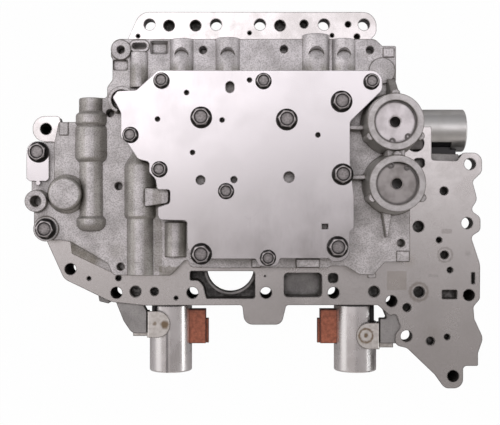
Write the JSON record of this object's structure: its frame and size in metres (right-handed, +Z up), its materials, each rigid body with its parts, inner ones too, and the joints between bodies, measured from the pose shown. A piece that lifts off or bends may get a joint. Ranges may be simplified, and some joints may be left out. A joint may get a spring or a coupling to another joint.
{
  "type": "transmission valve body",
  "caption": "Automatic transmission valve body with stacked die-cast halves, separator plate, spool valves, solenoids and spring accumulators.",
  "frame": {"origin": "on the rest face, under the middle of the cover plate's left half", "axes": "+X along the long side towards the separator plate's lobes, +Y away from the front solenoids, +Z up through the stack towards the cover plate"},
  "size_m": [0.2943, 0.2446, 0.068],
  "materials": {
    "cast_aluminium": "die cast, matt",
    "turned_aluminium": "turned and ground",
    "plate_steel": "rolled sheet, satin",
    "cover_steel": "rolled sheet, bright",
    "can_steel": "plated and polished",
    "dull_can": "plated, dull",
    "bolt_steel": "dark, satin",
    "spring_steel": "drawn wire",
    "brown_plastic": "moulded, matt",
    "black_plastic": "moulded, matt",
    "seal_rubber": "moulded"
  },
  "bodies": {
    "castings": {"lower_body": "cast_aluminium", "upper_body": "cast_aluminium", "separator_plate": "plate_steel", "cover_plate": "cover_steel", "side_bracket": "cover_steel", "cover_bolts_large": "bolt_steel", "cover_bolts_small": "bolt_steel", "side_bolts": "bolt_steel", "strap_bolts": "bolt_steel", "left_valve_plug": "turned_aluminium", "left_valve_spring": "spring_steel", "middle_valve_plug": "turned_aluminium", "middle_valve_spring": "spring_steel", "top_valve_1_plug": "turned_aluminium", "top_valve_1_spring": "spring_steel", "top_valve_2_plug": "turned_aluminium", "top_valve_2_spring": "spring_steel", "top_valve_3_plug": "turned_aluminium", "top_valve_3_spring": "spring_steel", "top_valve_4_plug": "turned_aluminium", "top_valve_4_spring": "spring_steel", "valve_keepers": "plate_steel", "front_solenoid_1_can": "can_steel", "front_solenoid_1_coil": "brown_plastic", "front_solenoid_1_sleeve": "turned_aluminium", "front_solenoid_1_strap": "can_steel", "front_solenoid_1_spring": "spring_steel", "front_solenoid_2_can": "can_steel", "front_solenoid_2_coil": "brown_plastic", "front_solenoid_2_sleeve": "turned_aluminium", "front_solenoid_2_strap": "can_steel", "front_solenoid_2_spring": "spring_steel", "side_solenoid_can": "dull_can", "side_solenoid_coil": "black_plastic", "side_solenoid_sleeve": "turned_aluminium", "side_solenoid_strap": "dull_can", "side_solenoid_spring": "spring_steel", "upper_accumulator_cap": "cover_steel", "upper_snap_ring": "spring_steel", "upper_accumulator_spring": "spring_steel", "lower_accumulator_cap": "cover_steel", "lower_snap_ring": "spring_steel", "lower_accumulator_spring": "spring_steel", "check_balls": "bolt_steel", "dowels": "bolt_steel"},
    "left_valve": {"left_valve_spool": "turned_aluminium"},
    "middle_valve": {"middle_valve_spool": "turned_aluminium"},
    "top_valve_1": {"top_valve_1_spool": "turned_aluminium"},
    "top_valve_2": {"top_valve_2_spool": "turned_aluminium"},
    "top_valve_3": {"top_valve_3_spool": "turned_aluminium"},
    "top_valve_4": {"top_valve_4_spool": "turned_aluminium"},
    "front_solenoid_1_plunger": {"front_solenoid_1_plunger": "bolt_steel"},
    "front_solenoid_2_plunger": {"front_solenoid_2_plunger": "bolt_steel"},
    "side_solenoid_plunger": {"side_solenoid_plunger": "bolt_steel"},
    "upper_accumulator": {"upper_accumulator_piston": "turned_aluminium", "upper_accumulator_seal": "seal_rubber"},
    "lower_accumulator": {"lower_accumulator_piston": "turned_aluminium", "lower_accumulator_seal": "seal_rubber"}
  },
  "joints": [
    {"name": "left_valve_slide", "type": "slide", "parent": "castings", "child": "left_valve", "axis": [0, 1, 0], "range_m": [0, 0.005], "stiffness_N_per_m": 800, "springref_m": -0.004, "deforming": ["left_valve_spring"]},
    {"name": "middle_valve_slide", "type": "slide", "parent": "castings", "child": "middle_valve", "axis": [0, -1, 0], "range_m": [0, 0.005], "stiffness_N_per_m": 800, "springref_m": -0.004, "deforming": ["middle_valve_spring"]},
    {"name": "top_valve_1_slide", "type": "slide", "parent": "castings", "child": "top_valve_1", "axis": [0, 1, 0], "range_m": [0, 0.005], "stiffness_N_per_m": 800, "springref_m": -0.004, "deforming": ["top_valve_1_spring"]},
    {"name": "top_valve_2_slide", "type": "slide", "parent": "castings", "child": "top_valve_2", "axis": [0, 1, 0], "range_m": [0, 0.005], "stiffness_N_per_m": 800, "springref_m": -0.004, "deforming": ["top_valve_2_spring"]},
    {"name": "top_valve_3_slide", "type": "slide", "parent": "castings", "child": "top_valve_3", "axis": [0, 1, 0], "range_m": [0, 0.006], "stiffness_N_per_m": 800, "springref_m": -0.004, "deforming": ["top_valve_3_spring"]},
    {"name": "top_valve_4_slide", "type": "slide", "parent": "castings", "child": "top_valve_4", "axis": [0, 1, 0], "range_m": [0, 0.003], "stiffness_N_per_m": 800, "springref_m": -0.004, "deforming": ["top_valve_4_spring"]},
    {"name": "front_solenoid_1_stroke", "type": "slide", "parent": "castings", "child": "front_solenoid_1_plunger", "axis": [0, 1, 0], "range_m": [0, 0.0025], "stiffness_N_per_m": 600, "springref_m": -0.003, "deforming": ["front_solenoid_1_spring"]},
    {"name": "front_solenoid_2_stroke", "type": "slide", "parent": "castings", "child": "front_solenoid_2_plunger", "axis": [0, 1, 0], "range_m": [0, 0.0025], "stiffness_N_per_m": 600, "springref_m": -0.003, "deforming": ["front_solenoid_2_spring"]},
    {"name": "side_solenoid_stroke", "type": "slide", "parent": "castings", "child": "side_solenoid_plunger", "axis": [-1, 0, 0], "range_m": [0, 0.0025], "stiffness_N_per_m": 600, "springref_m": -0.003, "deforming": ["side_solenoid_spring"]},
    {"name": "upper_accumulator_stroke", "type": "slide", "parent": "castings", "child": "upper_accumulator", "axis": [0, 0, 1], "range_m": [0, 0.009], "stiffness_N_per_m": 2500, "springref_m": -0.005, "deforming": ["upper_accumulator_spring"]},
    {"name": "lower_accumulator_stroke", "type": "slide", "parent": "castings", "child": "lower_accumulator", "axis": [0, 0, 1], "range_m": [0, 0.009], "stiffness_N_per_m": 2500, "springref_m": -0.005, "deforming": ["lower_accumulator_spring"]}
  ]
}
